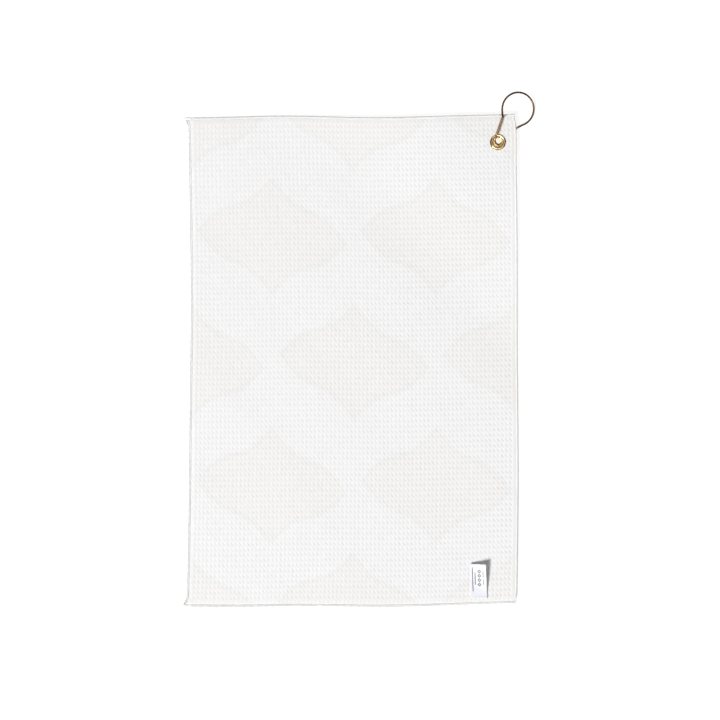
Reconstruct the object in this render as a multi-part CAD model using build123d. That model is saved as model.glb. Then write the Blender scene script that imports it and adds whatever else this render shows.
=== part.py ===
from build123d import *
import os
from math import cos, radians, sin

# Golf towel lying face down: a waffle cloth with an overlocked edge, an eyelet in one corner,
# a pear-shaped spring-wire hook through the eyelet and a sewn-on satin label.
# Millimetres. The origin is the middle of the cloth's underside, +Y runs along the towel to the
# eyelet's end, and +Z is up.

# Cloth
CLOTH_WIDTH = 406.4
CLOTH_LENGTH = 609.6
CLOTH_THICKNESS = 2.2
STITCH_WIDTH = 3.6
STITCH_PROUD = 0.3

# The corner with the eyelet lies over the hook's back leg, so it is raised in a gentle step
CORNER_LIFT = 5.8
STEP_RUN = 100.0
STEP_RADIUS = 400.0
LEVEL_BEHIND_EYELET = 11.0

# Eyelet
EYELET_X = 178.9
EYELET_Y = 269.4
FLANGE_RADIUS = 9.75
BORE_RADIUS = 4.75
BARREL_WALL = 0.6
FLANGE_THICKNESS = 1.2
WASHER_RISE = 1.5
LIP_HEIGHT = 1.6

# Hook, in its own axes: X across, Y along the pear from the eyelet, Z up
HOOK_TURN = -31.3
HOOK_TILT = 15.2
WIRE_RADIUS = 1.2
LOOP_RADIUS = 20.4
LOOP_CENTRE = 48.0
LOOP_HEIGHT = 6.95
LOOP_FOOT_ANGLE = 55.5
SHOULDER = 9.4
NECK_RADIUS = 6.0
CATCH_RISE = 3.5
GATE_ROOT = Vector(-6.5, 7.0, 11.6)
GATE_GAP = 0.4

# Label
LABEL_X = 155.5
LABEL_Y = -294.0
LABEL_WIDTH = 19.0
LABEL_TAB = 3.0
LABEL_FLAP = 40.0
LABEL_THICKNESS = 0.4
LABEL_RISE = 9.5
LABEL_GAP = 0.15
LABEL_STITCHES = 6

# Thread tails at the four corners
TAIL_RADIUS = 0.8
TAIL_LENGTH = 3.6

PANEL_WIDTH = CLOTH_WIDTH - 2 * STITCH_WIDTH
PANEL_LENGTH = CLOTH_LENGTH - 2 * STITCH_WIDTH
RAISED_TOP = CORNER_LIFT + CLOTH_THICKNESS
BARREL_RADIUS = BORE_RADIUS + BARREL_WALL
TAB_THICKNESS = 2 * LABEL_THICKNESS
HOOK_PLACE = Location((EYELET_X, EYELET_Y, 0), (0, 0, HOOK_TURN))


def lifted_slab(thickness):
    """Endless sheet of the given thickness that follows the cloth's underside up to the corner."""
    reach = CLOTH_LENGTH
    level_start = (EYELET_X + EYELET_Y) / 2 ** 0.5 - LEVEL_BEHIND_EYELET
    step_start = level_start - STEP_RUN

    def underside(height):
        return FilletPolyline(
            (-reach, height),
            (step_start + STEP_RUN / 4, height),
            (level_start - STEP_RUN / 4, height + CORNER_LIFT),
            (reach, height + CORNER_LIFT),
            radius=STEP_RADIUS,
        )

    low = underside(0)
    high = underside(thickness)
    ends = [Line(low @ 0, high @ 0), Line(low @ 1, high @ 1)]
    section = make_face(low.edges() + high.edges() + [edge.edge() for edge in ends])
    diagonal = Plane((0, 0, 0), x_dir=(1, 1, 0), z_dir=(1, -1, 0))
    return extrude(diagonal * section, amount=reach, both=True)


def upright_block(x_low, x_high, y_low, y_high):
    """Tall box over a rectangle of the cloth, for cutting a piece out of the lifted slab."""
    tall = 60.0
    middle = ((x_low + x_high) / 2, (y_low + y_high) / 2, 0)
    return Pos(*middle) * Box(x_high - x_low, y_high - y_low, tall)


def towel_panel():
    block = upright_block(-PANEL_WIDTH / 2, PANEL_WIDTH / 2, -PANEL_LENGTH / 2, PANEL_LENGTH / 2)
    hole = Pos(EYELET_X, EYELET_Y, RAISED_TOP) * Cylinder(BARREL_RADIUS, 6 * CLOTH_THICKNESS)
    return lifted_slab(CLOTH_THICKNESS) & block - hole


def edge_stitch(side):
    """One run of overlock thread: the two short ends run full width, the long sides fit between."""
    half_width = CLOTH_WIDTH / 2
    half_length = CLOTH_LENGTH / 2
    blocks = {
        "top": (-half_width, half_width, PANEL_LENGTH / 2, half_length),
        "bottom": (-half_width, half_width, -half_length, -PANEL_LENGTH / 2),
        "left": (-half_width, -PANEL_WIDTH / 2, -PANEL_LENGTH / 2, PANEL_LENGTH / 2),
        "right": (PANEL_WIDTH / 2, half_width, -PANEL_LENGTH / 2, PANEL_LENGTH / 2),
    }
    return lifted_slab(CLOTH_THICKNESS + STITCH_PROUD) & upright_block(*blocks[side])


def corner_thread_tails():
    """Short chained thread ends that stick out where two runs of overlocking meet."""
    tails = []
    corners = [(1, 1, CORNER_LIFT), (1, -1, 0), (-1, -1, 0), (-1, 1, 0)]
    for x_side, y_side, ground in corners:
        start = Vector(x_side * CLOTH_WIDTH / 2, y_side * (CLOTH_LENGTH - STITCH_WIDTH) / 2,
                       ground + CLOTH_THICKNESS / 2)
        shaft = Plane(start, z_dir=(x_side, 0, 0)) * Cylinder(
            TAIL_RADIUS, TAIL_LENGTH, align=(Align.CENTER, Align.CENTER, Align.MIN))
        knot = Pos(*(start + Vector(x_side * TAIL_LENGTH, 0, 0))) * Sphere(TAIL_RADIUS)
        tails.append(shaft + knot)
    return Compound(tails)


def eyelet():
    """Lower flange, barrel and the lip that is rolled over the washer, in one turned piece."""
    flange_middle = (BORE_RADIUS + FLANGE_RADIUS) / 2
    flange = Pos(flange_middle, CORNER_LIFT - FLANGE_THICKNESS / 2) * RectangleRounded(
        FLANGE_RADIUS - BORE_RADIUS, FLANGE_THICKNESS, FLANGE_THICKNESS * 0.4)
    curl_centre = (BORE_RADIUS + 1.3 * BARREL_WALL, RAISED_TOP + LIP_HEIGHT / 2)
    curl_outer = 1.3 * BARREL_WALL
    barrel_height = curl_centre[1] - CORNER_LIFT + FLANGE_THICKNESS / 2
    barrel = Pos(BORE_RADIUS + BARREL_WALL / 2, curl_centre[1] - barrel_height / 2) * Rectangle(
        BARREL_WALL, barrel_height)
    ring = Circle(curl_outer) - Circle(curl_outer - BARREL_WALL)
    upper_half = Pos(0, curl_outer / 2) * Rectangle(2 * curl_outer, curl_outer)
    lip = Pos(*curl_centre) * (ring & upper_half)
    section = flange + barrel + lip
    return Pos(EYELET_X, EYELET_Y, 0) * revolve(Plane.XZ * section, Axis.Z)


def eyelet_washer():
    """Domed ring on the upper face: a flat land under the rolled lip, a crest and a steep rim."""
    inner = BARREL_RADIUS + 0.05
    land = BARREL_RADIUS + 1.15
    land_top = RAISED_TOP + LIP_HEIGHT / 2 - 0.2
    crest = 0.45 * land + 0.55 * FLANGE_RADIUS
    crest_top = RAISED_TOP + WASHER_RISE
    slope = 0.5 * (land + crest)
    rim = FLANGE_RADIUS - 0.15
    outline = [
        Line((inner, RAISED_TOP), (inner, land_top)),
        Line((inner, land_top), (land, land_top)),
        ThreePointArc((land, land_top), (slope, crest_top - 0.15), (crest, crest_top)),
        ThreePointArc((crest, crest_top), (rim - 0.45, crest_top - 0.55), (rim, RAISED_TOP + 0.3)),
        Line((rim, RAISED_TOP + 0.3), (FLANGE_RADIUS, RAISED_TOP)),
        Line((FLANGE_RADIUS, RAISED_TOP), (inner, RAISED_TOP)),
    ]
    section = make_face([line.edge() for line in outline])
    return Pos(EYELET_X, EYELET_Y, 0) * revolve(Plane.XZ * section, Axis.Z)


def on_pear(across, along):
    """Point of the hook's flat outline, laid in the plane that tilts about the pear's axis."""
    tilt = radians(HOOK_TILT)
    return Vector(across * cos(tilt), along, LOOP_HEIGHT - across * sin(tilt))


def on_loop(angle):
    """Point of the round loop, `angle` degrees round from its foot towards the back leg."""
    turn = radians(angle)
    return on_pear(LOOP_RADIUS * sin(turn), LOOP_CENTRE - LOOP_RADIUS * cos(turn))


def neck(side, length):
    """Point on the shoulder line that leaves the loop's foot, `length` below the loop."""
    turn = radians(LOOP_FOOT_ANGLE)
    across = LOOP_RADIUS * sin(turn) - length * cos(turn)
    along = LOOP_CENTRE - LOOP_RADIUS * cos(turn) - length * sin(turn)
    return on_pear(side * across, along)


def wire(path):
    """Round spring wire along a path, with rounded ends."""
    section = Plane(path @ 0, z_dir=path % 0) * Circle(WIRE_RADIUS)
    shaft = sweep(section, path=path)
    start_cap = Pos(*(path @ 0)) * Sphere(WIRE_RADIUS)
    end_cap = Pos(*(path @ 1)) * Sphere(WIRE_RADIUS)
    return shaft + start_cap + end_cap


def hook_wire():
    """Short front stub, turn through the eyelet, back leg, round loop and the catch at its end."""
    lower_part = FilletPolyline(
        GATE_ROOT,
        (-5.3, 0.4, 12.2),
        (-2.2, -2.3, 8.5),
        (2.4, -2.2, 5.2),
        (4.2, 2.0, 2.6),
        neck(1, SHOULDER),
        on_loop(LOOP_FOOT_ANGLE),
        radius=[2.2, 2.0, 2.0, 2.6, NECK_RADIUS],
    )
    loop = ThreePointArc(on_loop(LOOP_FOOT_ANGLE), on_loop(180), on_loop(360 - LOOP_FOOT_ANGLE))
    catch = FilletPolyline(
        on_loop(360 - LOOP_FOOT_ANGLE),
        neck(-1, 2.6),
        neck(-1, SHOULDER + 1.0) + Vector(0, 0, CATCH_RISE),
        radius=6.0,
    )
    path = Wire(lower_part.edges() + loop.edges() + catch.edges())
    return HOOK_PLACE * wire(path)


def hook_gate():
    """Front leg, which springs inwards to let go of the catch."""
    tip = neck(-1, SHOULDER)
    direction = (tip - GATE_ROOT).normalized()
    root = GATE_ROOT + direction * (2 * WIRE_RADIUS + GATE_GAP)
    return HOOK_PLACE * wire(Line(root, tip))


def label_tab():
    """Sewn end of the label, where the satin is turned under and so lies double."""
    corner = Pos(LABEL_X, LABEL_Y, CLOTH_THICKNESS)
    return corner * Box(LABEL_WIDTH, LABEL_TAB, TAB_THICKNESS,
                        align=(Align.CENTER, Align.MIN, Align.MIN))


def label_flap():
    """Free part of the label, which rises from the upper edge of the sewn end."""
    seam = Location((LABEL_X, LABEL_Y + LABEL_TAB, CLOTH_THICKNESS + TAB_THICKNESS), (LABEL_RISE, 0, 0))
    return seam * Pos(0, LABEL_GAP, 0) * Box(LABEL_WIDTH, LABEL_FLAP, LABEL_THICKNESS,
                                             align=(Align.CENTER, Align.MIN, Align.MAX))


def label_stitches():
    """One row of thread across the sewn end of the label."""
    pitch = LABEL_WIDTH / LABEL_STITCHES
    thread = RectangleRounded(0.7 * pitch, 0.5, 0.2)
    stitch = extrude(thread, amount=0.25)
    top = CLOTH_THICKNESS + TAB_THICKNESS
    row = []
    for index in range(LABEL_STITCHES):
        x = LABEL_X + (index - (LABEL_STITCHES - 1) / 2) * pitch
        row.append(Pos(x, LABEL_Y + LABEL_TAB / 2, top) * stitch)
    return Compound(row)


nodes = {
    "towel_panel": towel_panel(),
    "edge_stitch_top": edge_stitch("top"),
    "edge_stitch_bottom": edge_stitch("bottom"),
    "edge_stitch_left": edge_stitch("left"),
    "edge_stitch_right": edge_stitch("right"),
    "corner_thread_tails": corner_thread_tails(),
    "eyelet": eyelet(),
    "eyelet_washer": eyelet_washer(),
    "hook_wire": hook_wire(),
    "hook_gate": hook_gate(),
    "label_tab": label_tab(),
    "label_flap": label_flap(),
    "label_stitches": label_stitches(),
}

os.makedirs("parts", exist_ok=True)
for name, shape in nodes.items():
    export_step(shape, f"parts/{name}.step")
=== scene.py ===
import math

import bpy
import numpy as np
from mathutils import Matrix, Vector


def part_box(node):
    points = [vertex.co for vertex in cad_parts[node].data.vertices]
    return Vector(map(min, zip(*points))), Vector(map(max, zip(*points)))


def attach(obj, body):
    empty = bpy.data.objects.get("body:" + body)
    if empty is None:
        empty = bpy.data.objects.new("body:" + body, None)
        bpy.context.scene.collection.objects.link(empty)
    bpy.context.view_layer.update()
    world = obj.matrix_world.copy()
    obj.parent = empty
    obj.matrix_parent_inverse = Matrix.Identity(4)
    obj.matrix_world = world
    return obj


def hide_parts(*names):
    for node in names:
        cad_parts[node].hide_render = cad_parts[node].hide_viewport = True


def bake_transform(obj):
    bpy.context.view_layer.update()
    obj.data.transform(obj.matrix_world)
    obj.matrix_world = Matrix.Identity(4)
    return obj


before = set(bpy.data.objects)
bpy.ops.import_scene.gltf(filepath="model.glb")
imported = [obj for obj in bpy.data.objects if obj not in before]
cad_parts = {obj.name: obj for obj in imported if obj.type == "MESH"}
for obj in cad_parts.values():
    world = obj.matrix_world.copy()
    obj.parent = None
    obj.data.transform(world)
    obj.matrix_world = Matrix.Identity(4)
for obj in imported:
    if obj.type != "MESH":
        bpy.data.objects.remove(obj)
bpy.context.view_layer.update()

# Lengths in this script are millimetres in the row frame; MM turns them into Blender's metres.
MM = 0.001


def in_millimetres(corners):
    """Low and high corner of a box, which the frame gives in metres."""
    return [np.array(corner) / MM for corner in corners]


# Places and sizes that the frame gives
TOP_HIGH = in_millimetres(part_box("edge_stitch_top"))[1]
BOTTOM_LOW, BOTTOM_HIGH = in_millimetres(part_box("edge_stitch_bottom"))
PANEL_LOW, PANEL_HIGH = in_millimetres(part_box("towel_panel"))
EYELET_LOW, EYELET_HIGH = in_millimetres(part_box("eyelet"))
TAB_LOW, TAB_HIGH = in_millimetres(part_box("label_tab"))
FLAP_LOW, FLAP_HIGH = in_millimetres(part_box("label_flap"))
STITCH_LOW, STITCH_HIGH = in_millimetres(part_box("label_stitches"))

HALF_WIDTH = TOP_HIGH[0]
HALF_LENGTH = TOP_HIGH[1]
EDGE_WIDTH = BOTTOM_HIGH[1] - BOTTOM_LOW[1]
EDGE_HEIGHT = BOTTOM_HIGH[2]
CORNER_LIFT = TOP_HIGH[2] - BOTTOM_HIGH[2]
CLOTH_THICKNESS = PANEL_HIGH[2] - CORNER_LIFT
EYELET = (EYELET_LOW[:2] + EYELET_HIGH[:2]) / 2
EYELET_RADIUS = (EYELET_HIGH[0] - EYELET_LOW[0]) / 2
EYELET_MIDDLE = (EYELET_LOW + EYELET_HIGH) / 2

# Groove round the eyelet's rolled lip, and the hole in the cloth, which the eyelet covers
GROOVE_RADIUS = 6.5
HOLE_RADIUS = 7.4

# The eyelet holds the cloth round it in place: how far that reaches, sideways and upwards
HOLD_SIDEWAYS = 24.0
HOLD_UPWARDS = 62.0

# How far the corners are shifted sideways (below 0 is to the left), and over what length of the side
LEFT_CORNER_SHIFT = -3.3
RIGHT_CORNER_SHIFT = -2.0
CORNER_REACH = 9.0

# Height of the long low swells and of the shorter ripples
SWELL = 0.55
RIPPLE = 0.15

# The raised corner: a step across the towel's diagonal, softer and longer than the CAD cloth's
LEVEL_BEHIND_EYELET = 11.0
STEP_RUN = 170.0
STEP_END = (EYELET[0] + EYELET[1]) / math.sqrt(2) - LEVEL_BEHIND_EYELET

# Hook wire, and the gap that the hook's spring leg leaves above its root
WIRE_RADIUS = 1.2
GATE_GAP = 0.4

# The cloth's edge is tucked into the overlocking, which squeezes it on both faces
TUCK = 1.4
SQUEEZE = 0.6
SQUEEZED_WIDTH = 3.5

# Waffle weave; the overlocking presses it flat over a margin on each side. A pit leans sideways by
# PIT_SLANT, and two of its corners are only OFF_SLANT as deep as the others. CELL_STOPS are the grid
# lines of one cell: where each lies, and its side of the pit (0 on the ridge). UNEVENNESS varies the
# pits' depths, and JITTER moves each point a little.
CELL_WIDTH = 5.0
CELL_LENGTH = 6.65
PIT_DEPTH = 0.5
MARGIN_LEFT = 3.0
MARGIN_RIGHT = 5.5
MARGIN_TOP = 3.5
MARGIN_BOTTOM = 5.0
PIT_SLANT = 0.6
OFF_SLANT = 0.35
CELL_STOPS = ((0.0, 0.0), (0.3, -1.0), (0.7, 1.0))
UNEVENNESS = 0.18
JITTER = 0.07

# The painted shade in the pits is faintest near the top left corner, and stronger towards the right
FAINT_REACH = 170.0
FAINT_SHARE = 0.4

# Painted shade in each pit: a dark dash on the pit's shaded lower-left side; slant is how far it leans per
# length
DASH_WIDTH = 1.5
DASH_LENGTH = 6.0
DASH_SLANT = 0.48
DASH_SHIFT = -0.08
DASH_STRENGTH = 0.355

# Print: medallions on a half-drop lattice. Each is sheared a little, and OGEE_CURL bends its outline
# away from a diamond. OUTLINE_SLOPE turns a distance along Y into about one square to the outline.
PRINT_PITCH_X = HALF_WIDTH
PRINT_PITCH_Y = 155.0
MEDALLION_HALF_WIDTH = 92.5
MEDALLION_HALF_HEIGHT = 73.0
OGEE_CURL = 0.095
MEDALLION_SHEAR = -0.09
OUTLINE_SLOPE = 0.75

rng = np.random.default_rng(7)


# ---------------------------------------------------------------------------------------------
# How the cloth lies

def smooth_step(value):
    t = np.clip(value, 0.0, 1.0)
    return t * t * (3.0 - 2.0 * t)


def eyelet_distance(x, y):
    return np.hypot(x - EYELET[0], y - EYELET[1])


def lie(x, y, height):
    """Where a point of the flat-cut cloth ends up, `height` above the cloth's underside."""
    x, y, height = np.broadcast_arrays(np.asarray(x, float), y, height)
    away = eyelet_distance(x, y)
    free_sideways = 1.0 - np.exp(-(away / HOLD_SIDEWAYS) ** 4)
    free_upwards = 1.0 - np.exp(-(away / HOLD_UPWARDS) ** 4)
    across = x / HALF_WIDTH
    along = y / HALF_LENGTH

    # no side of the outline is quite straight
    left = 1.6 + 1.2 * along - 3.7 * along ** 2 + 0.3 * np.sin(math.pi * along)
    left = left + 0.3 * np.sin(2.0 * math.pi * along)
    right = 1.3 - 1.1 * along - 1.7 * along ** 2 - 0.3 * np.sin(math.pi * along)
    right = right - 0.3 * np.cos(2.0 * math.pi * along)
    top = -3.1 + 1.8 * across + 1.7 * across ** 2 - 1.4 * np.sin(math.pi * across)
    top = top - 0.5 * np.cos(2.0 * math.pi * across) - 0.4 * np.sin(2.0 * math.pi * across)
    bottom = -0.1 + 2.2 * across + 2.3 * across ** 2 - 0.7 * np.sin(math.pi * across)
    bottom = bottom - 0.4 * np.sin(2.0 * math.pi * across)
    shift_x = left + (right - left) * (0.5 + 0.5 * across)
    shift_y = bottom + (top - bottom) * (0.5 + 0.5 * along)

    # the left corners stand out as small ears, and the right corners are drawn in
    near_corner = np.exp(-((HALF_LENGTH - np.abs(y)) / CORNER_REACH) ** 4) * np.abs(across) ** 40
    shift_x += np.where(across < 0.0, LEFT_CORNER_SHIFT, RIGHT_CORNER_SHIFT) * near_corner

    # the step up to the raised corner, and long low swells where the cloth isn't pressed flat
    diagonal = (x + y) / math.sqrt(2)
    step = CORNER_LIFT * smooth_step((diagonal - STEP_END + STEP_RUN) / STEP_RUN)
    swell = 0.5 + 0.5 * np.sin(x / 47.0 + 0.6 * np.sin(y / 90.0)) * np.sin(y / 71.0 + 1.1)
    ripple = 0.5 + 0.5 * np.sin(x / 19.0 + y / 31.0 + 2.0 * np.sin(y / 120.0))
    lift = step + free_upwards * (SWELL * swell + RIPPLE * ripple)
    return np.stack([x + free_sideways * shift_x, y + free_sideways * shift_y, height + lift], axis=-1)


# ---------------------------------------------------------------------------------------------
# Mesh helpers

def new_object(name, points, faces, materials, face_material=None):
    """Smooth-shaded mesh object from points in millimetres and a list or array of faces."""
    mesh = bpy.data.meshes.new(name)
    if isinstance(faces, np.ndarray):
        corners = faces.shape[1]
        mesh.vertices.add(len(points))
        mesh.vertices.foreach_set("co", (np.asarray(points) * MM).astype(np.float32).ravel())
        mesh.loops.add(faces.size)
        mesh.loops.foreach_set("vertex_index", faces.astype(np.int32).ravel())
        mesh.polygons.add(len(faces))
        mesh.polygons.foreach_set("loop_start", np.arange(0, faces.size, corners, dtype=np.int32))
        mesh.update(calc_edges=True)
    else:
        mesh.from_pydata([tuple(np.asarray(point) * MM) for point in points], [], faces)
    for material in materials:
        mesh.materials.append(material)
    if face_material is not None:
        mesh.polygons.foreach_set("material_index", np.asarray(face_material, dtype=np.int32))
    mesh.polygons.foreach_set("use_smooth", np.full(len(mesh.polygons), True))
    mesh.validate()
    mesh.update()
    piece = bpy.data.objects.new(name, mesh)
    bpy.context.scene.collection.objects.link(piece)
    return piece


def add_attribute(piece, name, values):
    """One number per point, which a material reads by name."""
    attribute = piece.data.attributes.new(name, "FLOAT", "POINT")
    attribute.data.foreach_set("value", np.asarray(values).astype(np.float32))


def ring_faces(rings, sides):
    """Faces between each ring of points and the next."""
    faces = []
    for ring in range(rings - 1):
        low = ring * sides
        for side in range(sides):
            after = (side + 1) % sides
            faces.append((low + side, low + after, low + sides + after, low + sides + side))
    return faces


def tube(path, radius, sides):
    """Points and faces of a closed round tube along a path of points; radius may vary along it."""
    path = np.asarray(path, float)
    radius = np.broadcast_to(radius, len(path))
    tangent = np.gradient(path, axis=0)
    tangent /= np.linalg.norm(tangent, axis=1)[:, None]
    normal = np.cross(tangent[0], (0.3, 0.2, 1.0))
    rings = []
    for point, along, size in zip(path, tangent, radius):
        normal = normal - along * np.dot(normal, along)
        normal /= np.linalg.norm(normal)
        other = np.cross(along, normal)
        angles = np.arange(sides) * 2.0 * math.pi / sides
        rings.append(point + size * (np.outer(np.cos(angles), normal) + np.outer(np.sin(angles), other)))
    points = np.concatenate(rings + [path[:1], path[-1:]])
    faces = ring_faces(len(path), sides)
    first, last = len(points) - 2, len(points) - 1
    end = (len(path) - 1) * sides
    for side in range(sides):
        after = (side + 1) % sides
        faces.append((after, side, first))
        faces.append((end + side, end + after, last))
    return points, faces


def join_parts(parts):
    """One point list and one face list from several (points, faces) pairs."""
    points, faces, offset = [], [], 0
    for part_points, part_faces in parts:
        points.append(part_points)
        faces.extend(tuple(index + offset for index in face) for face in part_faces)
        offset += len(part_points)
    return np.concatenate(points), faces


# ---------------------------------------------------------------------------------------------
# Material helpers

class Shader:
    """A Principled material and short calls that add the nodes which feed it."""

    def __init__(self, name):
        self.material = bpy.data.materials.new(name)
        self.material.use_nodes = True
        self.tree = self.material.node_tree
        self.surface = self.tree.nodes["Principled BSDF"]

    def add(self, kind, **settings):
        node = self.tree.nodes.new(kind)
        for key, value in settings.items():
            setattr(node, key, value)
        return node

    def link(self, output, target):
        if isinstance(output, (int, float, tuple)):
            target.default_value = output
        else:
            self.tree.links.new(output, target)

    def set(self, **values):
        for key, value in values.items():
            self.surface.inputs[key.replace("_", " ")].default_value = value

    def math(self, operation, first, second=0.0, clamp=False):
        node = self.add("ShaderNodeMath", operation=operation, use_clamp=clamp)
        self.link(first, node.inputs[0])
        self.link(second, node.inputs[1])
        return node.outputs[0]

    def object_coordinates(self, scale=(1.0, 1.0, 1.0)):
        coordinates = self.add("ShaderNodeTexCoord")
        mapping = self.add("ShaderNodeMapping")
        mapping.inputs["Scale"].default_value = scale
        self.link(coordinates.outputs["Object"], mapping.inputs["Vector"])
        return mapping.outputs[0]

    def noise(self, size, detail=3.0, roughness=0.5, stretch=(1.0, 1.0, 1.0)):
        """Noise whose lumps are about `size` millimetres."""
        node = self.add("ShaderNodeTexNoise")
        self.link(self.object_coordinates(stretch), node.inputs["Vector"])
        node.inputs["Scale"].default_value = 1.0 / (size * MM)
        node.inputs["Detail"].default_value = detail
        node.inputs["Roughness"].default_value = roughness
        return node.outputs["Fac"]

    def wave(self, pitch, direction, distortion=0.0):
        node = self.add("ShaderNodeTexWave", bands_direction=direction)
        self.link(self.object_coordinates(), node.inputs["Vector"])
        node.inputs["Scale"].default_value = math.pi / (10.0 * pitch * MM)
        node.inputs["Distortion"].default_value = distortion
        node.inputs["Detail"].default_value = 1.0
        return node.outputs["Fac"]

    def spread(self, value, low, high, out_low=0.0, out_high=1.0):
        node = self.add("ShaderNodeMapRange")
        self.link(value, node.inputs["Value"])
        node.inputs["From Min"].default_value = low
        node.inputs["From Max"].default_value = high
        node.inputs["To Min"].default_value = out_low
        node.inputs["To Max"].default_value = out_high
        return node.outputs["Result"]

    def attribute(self, name):
        return self.add("ShaderNodeAttribute", attribute_name=name).outputs["Fac"]

    def blend(self, factor, first, second):
        """Colour mix; 6, 7 and 2 are the node's colour sockets."""
        node = self.add("ShaderNodeMix", data_type="RGBA")
        self.link(factor, node.inputs["Factor"])
        self.link(first, node.inputs[6])
        self.link(second, node.inputs[7])
        return node.outputs[2]

    def bump(self, height, distance, strength=1.0, under=None):
        node = self.add("ShaderNodeBump")
        node.inputs["Strength"].default_value = strength
        node.inputs["Distance"].default_value = distance * MM
        self.link(height, node.inputs["Height"])
        if under is not None:
            self.link(under, node.inputs["Normal"])
        return node.outputs["Normal"]

    def finish(self, colour=None, roughness=None, normal=None):
        if colour is not None:
            self.link(colour, self.surface.inputs["Base Color"])
        if roughness is not None:
            self.link(roughness, self.surface.inputs["Roughness"])
        if normal is not None:
            self.link(normal, self.surface.inputs["Normal"])
        return self.material


def terry_bump(shader):
    """Fine microfibre nap over a knitted thread pattern."""
    across = shader.wave(0.55, "X", 1.5)
    along = shader.wave(0.75, "Y", 1.5)
    knit = shader.math("MULTIPLY", across, along)
    knitted = shader.bump(knit, 0.12, 0.5)
    return shader.bump(shader.noise(0.45, 4.0, 0.7), 0.16, 0.6, knitted)


def painted_pit_shade(shader):
    """Painted shade in each pit: a dark dash on the pit's shaded lower-left side, which slants, and which
    varies from pit to pit.
    """
    u = shader.math("SUBTRACT", shader.math("FRACT", shader.attribute("cell_u")), 0.5 + DASH_SHIFT)
    v = shader.math("SUBTRACT", shader.math("FRACT", shader.attribute("cell_v")), 0.5 + DASH_SHIFT)
    across = shader.math("ADD", shader.math("MULTIPLY", u, CELL_WIDTH),
                         shader.math("MULTIPLY", v, DASH_SLANT * CELL_LENGTH))
    across = shader.math("DIVIDE", across, DASH_WIDTH / 2)
    along = shader.math("DIVIDE", v, DASH_LENGTH / 2 / CELL_LENGTH)
    reach = shader.math("ADD", shader.math("MULTIPLY", across, across),
                        shader.math("MULTIPLY", along, along))
    dash = shader.spread(reach, 1.3, 0.1)
    strength = shader.spread(shader.noise(4.0, 1.0), 0.25, 0.75, 0.25 * DASH_STRENGTH, 1.3 * DASH_STRENGTH)
    return shader.math("MULTIPLY", shader.math("MULTIPLY", dash, strength), shader.attribute("pit_shade"))


def cloth_upper_material():
    """White reverse of the cloth, where the print on the other face shows through faintly, with painted
    shade in each pit.
    """
    shader = Shader("waffle_cloth_reverse")
    shader.set(Roughness=0.92, Sheen_Weight=0.15, Sheen_Roughness=0.5, Specular_IOR_Level=0.2)
    level = shader.attribute("print_level")
    fill = shader.spread(level, -1.0, -7.5)
    off_ring = shader.math("ABSOLUTE", shader.math("ADD", level, 2.0))
    ring = shader.math("SUBTRACT", 1.0, shader.spread(off_ring, 1.2, 4.2), clamp=True)
    patchy = shader.noise(26.0, 2.0)
    white = shader.blend(patchy, (0.803, 0.800, 0.803, 1), (0.823, 0.820, 0.821, 1))
    warm = shader.blend(patchy, (0.794, 0.784, 0.770, 1), (0.811, 0.801, 0.787, 1))
    tinted = shader.blend(fill, white, warm)
    lined = shader.blend(shader.math("MULTIPLY", ring, 0.75), tinted, (0.779, 0.773, 0.766, 1))
    # painted shade: each pit's shaded lower-left side is darkened in the colour
    shaded = shader.blend(painted_pit_shade(shader), lined, (0.42, 0.42, 0.41, 1))
    return shader.finish(shaded, normal=terry_bump(shader))


def cloth_lower_material():
    """Printed face, which lies underneath: pale medallions with a darker outline on sand."""
    shader = Shader("waffle_cloth_print")
    shader.set(Roughness=0.92, Sheen_Weight=0.15, Sheen_Roughness=0.5, Specular_IOR_Level=0.2)
    level = shader.attribute("print_level")
    inside = shader.spread(level, 0.4, -0.4)
    off_ring = shader.math("ABSOLUTE", shader.math("ADD", level, 2.2))
    ring = shader.math("SUBTRACT", 1.0, shader.spread(off_ring, 2.0, 2.4), clamp=True)
    inner = shader.spread(level, -7.3, -7.8)
    patchy = shader.noise(8.0, 3.0)
    ground = shader.blend(patchy, (0.74, 0.73, 0.70, 1), (0.79, 0.78, 0.75, 1))
    band = shader.blend(inside, ground, (0.82, 0.81, 0.79, 1))
    filled = shader.blend(inner, band, (0.58, 0.48, 0.35, 1))
    lined = shader.blend(ring, filled, (0.33, 0.27, 0.20, 1))
    return shader.finish(lined, normal=terry_bump(shader))


def thread_material(name, light, dark, rim_shade):
    """Spun thread: fine slanting fibres, a soft nap, slight colour changes and painted shade on the outer
    rim.
    """
    shader = Shader(name)
    shader.set(Roughness=0.8, Sheen_Weight=0.2, Specular_IOR_Level=0.25)
    fibres = shader.noise(0.5, 3.0, 0.6, (1.0, 0.35, 1.0))
    spun = shader.blend(shader.noise(5.0, 2.0), dark, light)
    # painted shade: the thread's outer rim is darkened in the colour
    colour = shader.blend(shader.attribute("rim"), spun, rim_shade)
    return shader.finish(colour, normal=shader.bump(fibres, 0.08, 0.6))


def distance_from_eyelet(shader):
    """Millimetres from the middle of the eyelet."""
    node = shader.add("ShaderNodeVectorMath", operation="DISTANCE")
    shader.link(shader.object_coordinates(), node.inputs[0])
    node.inputs[1].default_value = tuple(EYELET_MIDDLE * MM)
    return shader.math("MULTIPLY", node.outputs["Value"], 1.0 / MM)


def plated_surface(shader, colour, gloss, gloss_range):
    """Fine drawn lines and uneven gloss under a metal colour."""
    scratches = shader.noise(0.35, 3.0, 0.6, (1.0, 6.0, 6.0))
    roughness = shader.spread(scratches, 0.3, 0.7, gloss, gloss + gloss_range)
    return shader.finish(colour, roughness, shader.bump(scratches, 0.005, 0.3))


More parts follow.
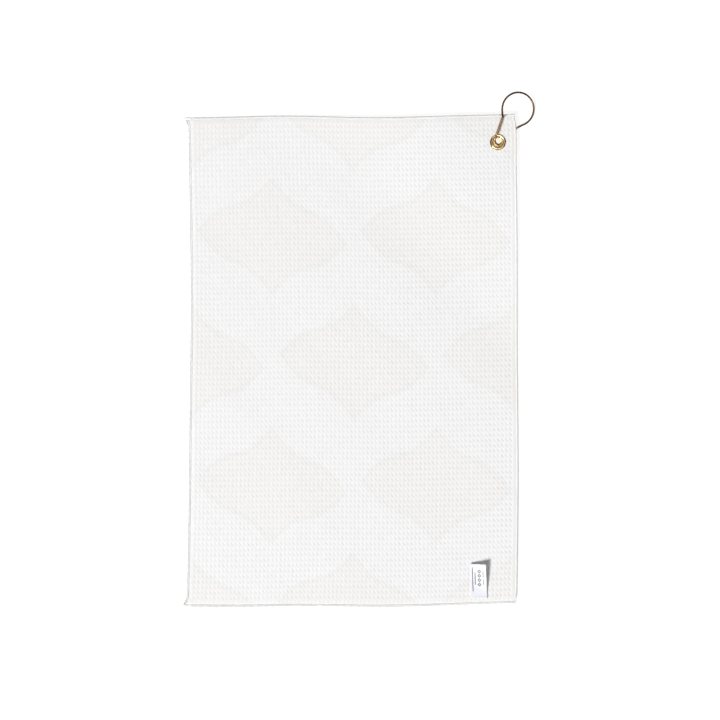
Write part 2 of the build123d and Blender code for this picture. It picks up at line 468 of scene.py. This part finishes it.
def hook_material():
    """Dark bronze spring wire that is rubbed to a paler brass near the eyelet."""
    shader = Shader("hook_bronze")
    shader.set(Metallic=1.0, Specular_Tint=(0.45, 0.33, 0.24, 1))
    wobble = shader.math("MULTIPLY", shader.noise(6.0), 6.0)
    away = shader.math("ADD", distance_from_eyelet(shader), wobble)
    rubbed = shader.spread(away, 36.0, 28.0)
    patches = shader.spread(shader.noise(3.2, 4.0, 0.6), 0.5, 0.66)
    dark = shader.blend(patches, (0.15, 0.088, 0.052, 1), (0.085, 0.047, 0.028, 1))
    pale = shader.blend(patches, (0.50, 0.34, 0.18, 1), (0.36, 0.22, 0.11, 1))
    return plated_surface(shader, shader.blend(rubbed, dark, pale), 0.34, 0.12)


def eyelet_material():
    """Bright brass, with painted shade in the groove round the rolled lip and painted dark reflections on
    the outer rim, strongest at its left and right.
    """
    shader = Shader("eyelet_brass")
    shader.set(Metallic=0.9)
    radius = distance_from_eyelet(shader)
    # painted dark reflection and shade on the rim's outer flank, most at the left and right
    rim = shader.spread(radius, EYELET_RADIUS - 2.2, EYELET_RADIUS - 1.2)
    split = shader.add("ShaderNodeSeparateXYZ")
    shader.link(shader.object_coordinates(), split.inputs[0])
    sideways = shader.math("ABSOLUTE", shader.math("SUBTRACT", split.outputs["X"], EYELET[0] * MM))
    rim = shader.math("MULTIPLY", rim, shader.spread(sideways, 4.0 * MM, 8.0 * MM, 0.35, 1.0))
    # painted shade in the groove round the rolled lip
    off_groove = shader.math("ABSOLUTE", shader.math("SUBTRACT", radius, GROOVE_RADIUS))
    groove = shader.spread(off_groove, 0.75, 0.3, 0.0, 0.9)
    bright = shader.blend(shader.noise(3.2, 4.0, 0.6), (1.0, 0.76, 0.36, 1), (0.95, 0.69, 0.30, 1))
    colour = shader.blend(shader.math("MAXIMUM", rim, groove), bright, (0.10, 0.055, 0.02, 1))
    return plated_surface(shader, colour, 0.2, 0.1)


def bar(shader, u, v, box):
    """1 inside the rectangle (u_low, u_high, v_low, v_high) of the label, else 0."""
    u_low, u_high, v_low, v_high = box
    masks = [
        shader.math("GREATER_THAN", u, u_low),
        shader.math("LESS_THAN", u, u_high),
        shader.math("GREATER_THAN", v, v_low),
        shader.math("LESS_THAN", v, v_high),
    ]
    total = masks[0]
    for mask in masks[1:]:
        total = shader.math("MULTIPLY", total, mask)
    return total


def label_material():
    """White woven satin with plain ink bars and small diamonds, and no lettering."""
    shader = Shader("label_satin")
    shader.set(Roughness=0.42, Sheen_Weight=0.3, Sheen_Roughness=0.3, Specular_IOR_Level=0.5)
    u = shader.attribute("label_u")
    v = shader.attribute("label_v")
    bars = [
        (-7.6, -6.5, 8.5, 38.5),
        (-4.5, -3.4, 17.0, 32.0),
        (5.2, 6.3, 17.0, 23.5),
        (5.2, 6.3, 25.5, 34.0),
    ]
    ink = None
    for box in bars:
        mark = bar(shader, u, v, box)
        ink = mark if ink is None else shader.math("MAXIMUM", ink, mark)
    for middle in (17.0, 22.5, 28.0, 33.5):
        offset_u = shader.math("ABSOLUTE", shader.math("SUBTRACT", u, 1.2))
        offset_v = shader.math("ABSOLUTE", shader.math("SUBTRACT", v, middle))
        from_middle = shader.math("ADD", offset_u, offset_v)
        outer = shader.math("LESS_THAN", from_middle, 2.6)
        inner = shader.math("GREATER_THAN", from_middle, 1.0)
        ink = shader.math("MAXIMUM", ink, shader.math("MULTIPLY", outer, inner))
    satin = shader.blend(shader.noise(6.0, 2.0), (0.72, 0.725, 0.775, 1), (0.76, 0.765, 0.81, 1))
    colour = shader.blend(ink, satin, (0.09, 0.09, 0.10, 1))
    weave = shader.bump(shader.wave(0.22, "X"), 0.03, 0.5)
    return shader.finish(colour, normal=shader.bump(shader.noise(0.6, 2.0), 0.03, 0.4, weave))


# ---------------------------------------------------------------------------------------------
# Cloth

def cell_stops(low, high, pitch):
    """Grid lines from low to high: one on each ridge (side 0) and one on each side of a pit (-1, 1)."""
    count = round((high - low) / pitch)
    step = (high - low) / count
    places, sides = [], []
    for cell in range(count):
        for stop, side in CELL_STOPS:
            places.append(low + (cell + stop) * step)
            sides.append(side)
    places.append(high)
    sides.append(0.0)
    return np.array(places), np.array(sides)


def print_level(x, y):
    """Millimetres outside the nearest medallion's outline, negative inside it."""
    best = np.full(np.shape(x), 1e3)
    for row in range(-2, 3):
        for column in range(-2, 3):
            centre_x = (column + 0.5 * (row % 2)) * PRINT_PITCH_X
            centre_y = row * PRINT_PITCH_Y
            across = x - centre_x
            along = y - centre_y - MEDALLION_SHEAR * across
            u = np.clip(np.abs(across) / MEDALLION_HALF_WIDTH, 0.0, 1.3)
            curl = OGEE_CURL * np.sin(2.0 * math.pi * np.clip(u, 0.0, 1.0))
            outline = MEDALLION_HALF_HEIGHT * (1.0 - u - curl)
            best = np.minimum(best, (np.abs(along) - outline) * OUTLINE_SLOPE)
    return best


def make_cloth():
    """Closed waffle sheet: ridges and square pits on both faces, with a hole for the eyelet."""
    xs, side_x = cell_stops(PANEL_LOW[0] - TUCK, PANEL_HIGH[0] + TUCK, CELL_WIDTH)
    ys, side_y = cell_stops(PANEL_LOW[1] - TUCK, PANEL_HIGH[1] + TUCK, CELL_LENGTH)
    count_x = (len(xs) - 1) // len(CELL_STOPS)
    count_y = (len(ys) - 1) // len(CELL_STOPS)
    x, y = np.meshgrid(xs, ys, indexing="ij")
    pit = np.abs(np.outer(side_x, side_y))

    # the overlocking squeezes the cloth's margin, each pit is a little different, and the painted
    # shade in the pits is faintest near the top left corner
    margin = np.minimum(xs[-1] - np.abs(x), ys[-1] - np.abs(y))
    squeeze = SQUEEZE * (1.0 - smooth_step(margin / SQUEEZED_WIDTH))
    from_side = np.where(x < 0.0, (x - xs[0]) / MARGIN_LEFT, (xs[-1] - x) / MARGIN_RIGHT)
    from_end = np.where(y < 0.0, (y - ys[0]) / MARGIN_BOTTOM, (ys[-1] - y) / MARGIN_TOP)
    open_weave = smooth_step(2.0 * np.minimum(from_side, from_end) - 1.0)
    uneven = 1.0 + UNEVENNESS * rng.standard_normal(pit.shape)
    slant = np.outer(side_x, side_y)
    from_corner = np.hypot(x - xs[0], y - ys[-1])
    faint = 1.0 - FAINT_SHARE * np.exp(-(from_corner / FAINT_REACH) ** 2)
    pit_shade = open_weave * faint * (0.92 + 0.28 * x / HALF_WIDTH)
    dent = PIT_DEPTH * pit * np.clip(uneven, 0.5, 1.4) * open_weave
    dent *= np.where(slant > 0.0, OFF_SLANT, 1.0)
    wander_x = x + 0.25 * np.sin(y / 23.0 + np.sin(x / 41.0)) + JITTER * rng.standard_normal(pit.shape)
    wander_x -= PIT_SLANT * pit * side_y
    wander_y = y + 0.5 * np.sin(x / 61.0 + 1.0) + JITTER * rng.standard_normal(pit.shape)
    inside = smooth_step(margin / 8.0)
    gx = x + (wander_x - x) * inside
    gy = y + (wander_y - y) * inside
    upper = lie(gx, gy, CLOTH_THICKNESS - dent - squeeze)
    lower = lie(gx, gy, dent + squeeze)

    rows, columns = x.shape
    points = np.concatenate([upper.reshape(-1, 3), lower.reshape(-1, 3)])
    index = np.arange(rows * columns).reshape(rows, columns)
    quads = np.stack([index[:-1, :-1], index[1:, :-1], index[1:, 1:], index[:-1, 1:]], axis=-1)
    middle_x = (x[:-1, :-1] + x[1:, 1:]) / 2
    middle_y = (y[:-1, :-1] + y[1:, 1:]) / 2
    kept = eyelet_distance(middle_x, middle_y) > HOLE_RADIUS
    below = rows * columns

    top_faces = quads[kept]
    bottom_faces = top_faces[:, ::-1] + below
    walls = []
    padded = np.pad(kept, 1)
    for i, j in np.argwhere(kept):
        corner = index[i, j], index[i + 1, j], index[i + 1, j + 1], index[i, j + 1]
        neighbours = (padded[i + 1, j], padded[i + 2, j + 1], padded[i + 1, j + 2], padded[i, j + 1])
        for side, neighbour in enumerate(neighbours):
            if not neighbour:
                first, second = corner[side], corner[(side + 1) % 4]
                walls.append((second, first, first + below, second + below))
    faces = np.concatenate([top_faces, bottom_faces, np.array(walls)])
    material = np.concatenate([
        np.zeros(len(top_faces)), np.ones(len(bottom_faces)), np.zeros(len(walls))])

    # drop the points that the hole left loose
    used = np.zeros(len(points), bool)
    used[faces] = True
    renumber = np.cumsum(used) - 1
    attributes = {
        "print_level": print_level(gx, gy),
        "pit_shade": pit_shade,
        "cell_u": (x - xs[0]) * count_x / (xs[-1] - xs[0]),
        "cell_v": (y - ys[0]) * count_y / (ys[-1] - ys[0]),
    }
    cloth = new_object("waffle_cloth", points[used], renumber[faces],
                       [cloth_upper_material(), cloth_lower_material()], material)
    for name, values in attributes.items():
        add_attribute(cloth, name, np.tile(values.ravel(), 2)[used])
    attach(cloth, "towel")
    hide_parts("towel_panel")
    return cloth


# ---------------------------------------------------------------------------------------------
# Overlocked edge

STITCH_PITCH = 1.2
THREAD_RADIUS = 0.4
THREAD_SIDES = 6
STEPS_PER_TURN = 8
BAND_SIDES = 10
BAND_STEP = 6.0

# Painted shade at the thread's outer rim, a thin grey line along the towel's outline: how wide the rim is,
# and how grey on each side
RIM_WIDTH = 1.0
RIM_GREY = {"top": 0.4, "bottom": 0.75, "left": 0.9, "right": 0.38}

# Thread ends at the corners: (side of X, side of Y) to how far each stands out
EAR_LENGTHS = {(-1, -1): 1.8, (-1, 1): 2.6, (1, -1): 1.4, (1, 1): 2.2}
EAR_RADIUS = 0.65
EAR_TIP_RADIUS = 0.45
PLY_OFFSET = 0.45


def edge_parts(start, end, outward):
    """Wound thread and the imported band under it, along one side, and each point's place across."""
    start, end, outward = np.array(start), np.array(end), np.array(outward)
    length = np.linalg.norm(end - start)
    half_width = EDGE_WIDTH / 2
    middle_height = EDGE_HEIGHT / 2
    turns = round(length / STITCH_PITCH)
    t = np.linspace(0.0, 1.0, turns * STEPS_PER_TURN + 1)
    angle = 2.0 * math.pi * turns * t
    uneven = 1.0 + 0.05 * np.sin(angle / 7.3) + 0.04 * np.sin(angle / 3.1 + 1.0)
    reach = (half_width - THREAD_RADIUS) * uneven * np.sign(np.cos(angle)) * np.abs(np.cos(angle)) ** 0.6
    rise = (middle_height - THREAD_RADIUS) * np.sin(angle)
    base = start + np.outer(t, end - start)
    flat = base + outward * reach[:, None]
    winding = tube(lie(flat[:, 0], flat[:, 1], middle_height + rise), THREAD_RADIUS, THREAD_SIDES)
    winding_place = np.concatenate([np.repeat(reach, THREAD_SIDES), reach[[0, -1]]])

    band_steps = round(length / BAND_STEP)
    t = np.linspace(0.0, 1.0, band_steps + 1)
    base = start + np.outer(t, end - start)
    angles = np.arange(BAND_SIDES) * 2.0 * math.pi / BAND_SIDES
    points = []
    for spot in base:
        ring = spot + np.outer(np.cos(angles) * (half_width - 1.5 * THREAD_RADIUS), outward)
        points.append(lie(ring[:, 0], ring[:, 1],
                          middle_height + np.sin(angles) * (middle_height - 1.6 * THREAD_RADIUS)))
    points = np.concatenate(points)
    band_place = np.tile(np.cos(angles) * (half_width - 1.5 * THREAD_RADIUS), band_steps + 1)
    faces = ring_faces(band_steps + 1, BAND_SIDES)
    faces.append(tuple(range(BAND_SIDES))[::-1])
    faces.append(tuple(range(band_steps * BAND_SIDES, (band_steps + 1) * BAND_SIDES)))
    return [winding, (points, faces)], np.concatenate([winding_place, band_place])


def make_edges(material):
    half_x = HALF_WIDTH - EDGE_WIDTH / 2
    half_y = HALF_LENGTH - EDGE_WIDTH / 2
    sides = {
        "top": ((-HALF_WIDTH, half_y), (HALF_WIDTH, half_y), (0, 1)),
        "bottom": ((HALF_WIDTH, -half_y), (-HALF_WIDTH, -half_y), (0, -1)),
        "left": ((-half_x, -half_y + EDGE_WIDTH / 2), (-half_x, half_y - EDGE_WIDTH / 2), (-1, 0)),
        "right": ((half_x, half_y - EDGE_WIDTH / 2), (half_x, -half_y + EDGE_WIDTH / 2), (1, 0)),
    }
    edges = []
    for name, (start, end, outward) in sides.items():
        parts, place = edge_parts(start, end, outward)
        points, faces = join_parts(parts)
        edge = new_object(f"overlock_{name}", points, faces, [material])
        # the rim attribute carries the painted shade along the towel's outline
        from_rim = EDGE_WIDTH / 2 - place
        near_rim = smooth_step((RIM_WIDTH - from_rim) / (0.5 * RIM_WIDTH))
        add_attribute(edge, "rim", RIM_GREY[name] * near_rim)
        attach(edge, "towel")
        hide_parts(f"edge_stitch_{name}")
        edges.append(edge)
    return edges


def make_corner_ears(material):
    """Thread ends at the corners: two plies twisted round each other, thinner at the tip."""
    parts = []
    for (x_side, y_side), length in EAR_LENGTHS.items():
        for ply in (0.0, math.pi):
            t = np.linspace(0.0, 1.0, 22)
            twist = 2.0 * math.pi * 0.32 * length * t + ply
            out = HALF_WIDTH - 1.0 + length * t
            side = HALF_LENGTH - EDGE_WIDTH / 2 - 0.36 * length * t ** 2
            radius = EAR_RADIUS - (EAR_RADIUS - EAR_TIP_RADIUS) * t ** 3
            path = lie(x_side * out, y_side * (side + PLY_OFFSET * np.cos(twist)),
                       EDGE_HEIGHT / 2 + PLY_OFFSET * np.sin(twist))
            parts.append(tube(path, radius, 7))
    points, faces = join_parts(parts)
    ears = new_object("corner_thread_ears", points, faces, [material])
    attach(ears, "towel")
    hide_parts("corner_thread_tails")
    return ears


# ---------------------------------------------------------------------------------------------
# Label

LABEL_THICKNESS = 0.35

# Sewn on a little off its place and askew: shift to the right, and lean to the left per length.
# Pulled wider at its sewn end by LABEL_SPREAD of its width.
LABEL_SHIFT = 0.5
LABEL_LEAN = 0.039
LABEL_SPREAD = 0.1

# One side of the free end curls up and the other down, with a shallow hollow between them, and so
# its middle line ends lower than the CAD flap
EDGE_CURL = 3.0
HOLLOW = 0.6
LOWER_THAN_CAD = 2.2

# The row of stitches is 1.5 mm from the sewn edge
SEWN_AT = 1.5
SEAM_STITCHES = 7
SEAM_THREAD_RADIUS = 0.2


def label_centreline(t):
    """Height and distance along the label from its sewn edge, for t from 0 to 1 along it."""
    tab = TAB_HIGH[1] - TAB_LOW[1]
    total = tab + (FLAP_HIGH[1] - FLAP_LOW[1])
    along = total * t
    free = np.clip((along - tab) / (total - tab), 0.0, 1.0)
    rise = FLAP_HIGH[2] - TAB_HIGH[2] - LOWER_THAN_CAD
    return along, rise * (0.35 * free + 1.05 * free ** 1.6 - 0.4 * free ** 3)


def label_lean(along):
    """Sideways shift: the label is sewn on a little askew, and leans left towards its free end."""
    return LABEL_SHIFT - LABEL_LEAN * along


def make_label():
    """One satin strip, a little wider at its sewn end, which rises in a soft curve to its free end."""
    length_steps, width_steps = 60, 24
    half_width = (TAB_HIGH[0] - TAB_LOW[0]) / 2
    middle = (TAB_HIGH[0] + TAB_LOW[0]) / 2
    t, s = np.meshgrid(np.linspace(0.0, 1.0, length_steps + 1),
                       np.linspace(-1.0, 1.0, width_steps + 1), indexing="ij")
    along, height = label_centreline(t)
    free = smooth_step((along - 4.0) / 30.0)
    curl = free * (EDGE_CURL * s - HOLLOW * (1.0 - s ** 2))
    wrinkle = 0.12 * free * np.sin(along / 3.1 + 1.5 * s) + 0.05 * np.sin(along * 0.9 + 3.0 * s)
    from_middle = half_width * s * (1.0 + LABEL_SPREAD * (1.0 - t))
    x = middle + from_middle + label_lean(along)
    y = TAB_LOW[1] + along
    base = lie(middle, TAB_LOW[1] + SEWN_AT, 0.0)[2]
    top = base + TAB_HIGH[2] + 0.05 + height + curl + wrinkle
    upper = np.stack([x, y, top], axis=-1).reshape(-1, 3)
    lower = np.stack([x, y, top - LABEL_THICKNESS], axis=-1).reshape(-1, 3)
    index = np.arange(len(upper)).reshape(t.shape)
    quads = np.stack([index[:-1, :-1], index[:-1, 1:], index[1:, 1:], index[1:, :-1]],
                     axis=-1).reshape(-1, 4)
    below = len(upper)
    border = np.concatenate([index[:, 0], index[-1, 1:], index[-2::-1, -1], index[0, -2:0:-1]])
    following = np.roll(border, -1)
    walls = np.stack([border, following, following + below, border + below], axis=-1)
    faces = np.concatenate([quads, quads[:, ::-1] + below, walls])
    label = new_object("label", np.concatenate([upper, lower]), faces, [label_material()])
    for name, values in (("label_u", from_middle), ("label_v", along)):
        add_attribute(label, name, np.tile(values.ravel(), 2))
    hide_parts("label_tab", "label_flap")
    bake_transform(label)
    return label


def make_label_stitches(material):
    """One row of lockstitches over the sewn end, each dipping into the satin at its ends."""
    middle_y = (STITCH_LOW[1] + STITCH_HIGH[1]) / 2
    inset = 0.75
    pitch = (TAB_HIGH[0] - TAB_LOW[0] - 2.0 * inset) / SEAM_STITCHES
    base = lie((TAB_LOW[0] + TAB_HIGH[0]) / 2, TAB_LOW[1] + SEWN_AT, 0.0)[2]
    parts = []
    for stitch in range(SEAM_STITCHES):
        t = np.linspace(0.0, 1.0, 9)
        x = TAB_LOW[0] + inset + pitch * (stitch + 0.08 + 0.84 * t) + label_lean(middle_y - TAB_LOW[1])
        z = base + TAB_HIGH[2] + 0.02 + 0.22 * np.sin(math.pi * t)
        path = np.stack([x, np.full(len(t), middle_y), z], axis=-1)
        parts.append(tube(path, SEAM_THREAD_RADIUS, 7))
    points, faces = join_parts(parts)
    stitches = new_object("label_stitching", points, faces, [material])
    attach(stitches, "towel")
    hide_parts("label_stitches")
    return stitches


# ---------------------------------------------------------------------------------------------
# Hook and eyelet

def make_front_leg(material):
    """The hook's springy front leg, drawn on to the stub above the eyelet so that no gap shows."""
    low, high = in_millimetres(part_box("hook_gate"))
    radius = WIRE_RADIUS + 0.02
    root = np.array([low[0], low[1], high[2]]) + WIRE_RADIUS * np.array([1.0, 1.0, -1.0])
    tip = np.array([high[0], high[1], low[2]]) - WIRE_RADIUS * np.array([1.0, 1.0, -1.0])
    direction = (tip - root) / np.linalg.norm(tip - root)
    start = root - direction * (2.0 * WIRE_RADIUS + GATE_GAP)
    cap = np.linspace(0.0, math.pi / 2, 7)
    middle = np.linspace(0.0, 1.0, 30)[1:-1]
    path = [start]
    sizes = [radius]
    for t in middle:
        path.append(start + (tip - start) * t)
        sizes.append(radius)
    for angle in cap:
        path.append(tip + direction * radius * (math.sin(angle) * 0.98))
        sizes.append(radius * max(math.cos(angle), 0.12))
    points, faces = tube(np.array(path), np.array(sizes), 20)
    leg = new_object("hook_front_leg", points, faces, [material])
    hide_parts("hook_gate")
    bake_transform(leg)
    return leg


def dress_hardware(bronze, brass):
    for node, material in (("hook_wire", bronze), ("eyelet", brass), ("eyelet_washer", brass)):
        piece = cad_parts[node]
        for slot in piece.material_slots:
            slot.material = material


# ---------------------------------------------------------------------------------------------
# Stage, lights and camera

def glowing_white(name, base, glow):
    """Matt white that gives off its own light, so that shadows on it stay faint."""
    material = bpy.data.materials.new(name)
    material.use_nodes = True
    surface = material.node_tree.nodes["Principled BSDF"]
    surface.inputs["Base Color"].default_value = (base, base, base, 1)
    surface.inputs["Emission Color"].default_value = (1.0, 1.0, 1.0, 1)
    surface.inputs["Emission Strength"].default_value = glow
    surface.inputs["Roughness"].default_value = 1.0
    surface.inputs["Specular IOR Level"].default_value = 0.0
    return material


def make_stage():
    """White light table, and round it a white wall that only the camera sees, for low views."""
    size = 6000.0
    level = -0.3
    corners = [(-size, -size, level), (size, -size, level), (size, size, level), (-size, size, level)]
    floor = new_object("floor", corners, [(0, 1, 2, 3)], [glowing_white("floor_white", 0.38, 0.79)])
    sides = 64
    angles = np.arange(sides) * 2.0 * math.pi / sides
    ring = np.stack([np.cos(angles), np.sin(angles), np.zeros(sides)], axis=-1) * 0.95 * size
    points = np.concatenate([ring + (0.0, 0.0, level), ring + (0.0, 0.0, 0.7 * size)])
    wall = new_object("wall", points, ring_faces(2, sides), [glowing_white("wall_white", 0.0, 1.1)])
    wall.visible_diffuse = False
    wall.visible_glossy = False
    wall.visible_shadow = False


def make_world():
    """Pale studio: bright overhead, dimmer low down, so that the metal has something to mirror."""
    world = bpy.data.worlds.new("studio")
    world.use_nodes = True
    bpy.context.scene.world = world
    tree = world.node_tree
    background = tree.nodes["Background"]
    coordinates = tree.nodes.new("ShaderNodeTexCoord")
    split = tree.nodes.new("ShaderNodeSeparateXYZ")
    ramp = tree.nodes.new("ShaderNodeValToRGB")
    tree.links.new(coordinates.outputs["Generated"], split.inputs[0])
    tree.links.new(split.outputs["Z"], ramp.inputs["Fac"])
    tree.links.new(ramp.outputs["Color"], background.inputs["Color"])
    ramp.color_ramp.elements[0].position = 0.55
    ramp.color_ramp.elements[0].color = (0.10, 0.10, 0.10, 1)
    ramp.color_ramp.elements[1].position = 0.9
    ramp.color_ramp.elements[1].color = (0.40, 0.40, 0.40, 1)
    background.inputs["Strength"].default_value = 1.0


def add_softbox(name, azimuth, elevation, distance, size, power):
    """Square area light that faces the towel; azimuth 0 is towards +X and 90 towards +Y."""
    a, e = math.radians(azimuth), math.radians(elevation)
    place = Vector((math.cos(a) * math.cos(e), math.sin(a) * math.cos(e), math.sin(e))) * distance
    data = bpy.data.lights.new(name, "AREA")
    data.size = size
    data.energy = power
    lamp = bpy.data.objects.new(name, data)
    lamp.location = place
    lamp.rotation_euler = (-place).to_track_quat("-Z", "Y").to_euler()
    lamp.visible_camera = False
    bpy.context.scene.collection.objects.link(lamp)
    return lamp


def make_camera():
    """Straight down on the towel, as far off as makes the picture the right width."""
    lens, sensor = 85.0, 36.0
    picture_width = 892.0
    aim = (8.7, 0.6)
    data = bpy.data.cameras.new("camera")
    data.lens = lens
    data.sensor_width = sensor
    camera = bpy.data.objects.new("camera", data)
    camera.location = (aim[0] * MM, aim[1] * MM, picture_width * MM * lens / sensor)
    bpy.context.scene.collection.objects.link(camera)
    bpy.context.scene.camera = camera


make_camera()
make_stage()
make_world()
add_softbox("key", 226, 42, 20.0, 5.0, 5000.0)
fill = add_softbox("fill", 40, 50, 20.0, 7.0, 375.0)
fill.visible_glossy = False
# the card is only a bright patch for the metal and the satin to mirror
card = add_softbox("overhead_card", 60, 84, 8.0, 3.2, 200.0)
card.visible_diffuse = False
scene = bpy.context.scene
scene.view_settings.view_transform = "Standard"
scene.view_settings.look = "None"

# the last colour is the painted shade on the thread's outer rim
edge_thread = thread_material("overlock_thread", (0.93, 0.93, 0.92, 1), (0.88, 0.88, 0.87, 1),
                              (0.16, 0.16, 0.16, 1))
label_thread = thread_material("label_thread", (0.86, 0.86, 0.86, 1), (0.78, 0.78, 0.78, 1),
                               (0.78, 0.78, 0.78, 1))
hook_bronze = hook_material()

cloth = make_cloth()
edges = make_edges(edge_thread)
ears = make_corner_ears(edge_thread)
make_label()
make_label_stitches(label_thread)
make_front_leg(hook_bronze)
dress_hardware(hook_bronze, eyelet_material())
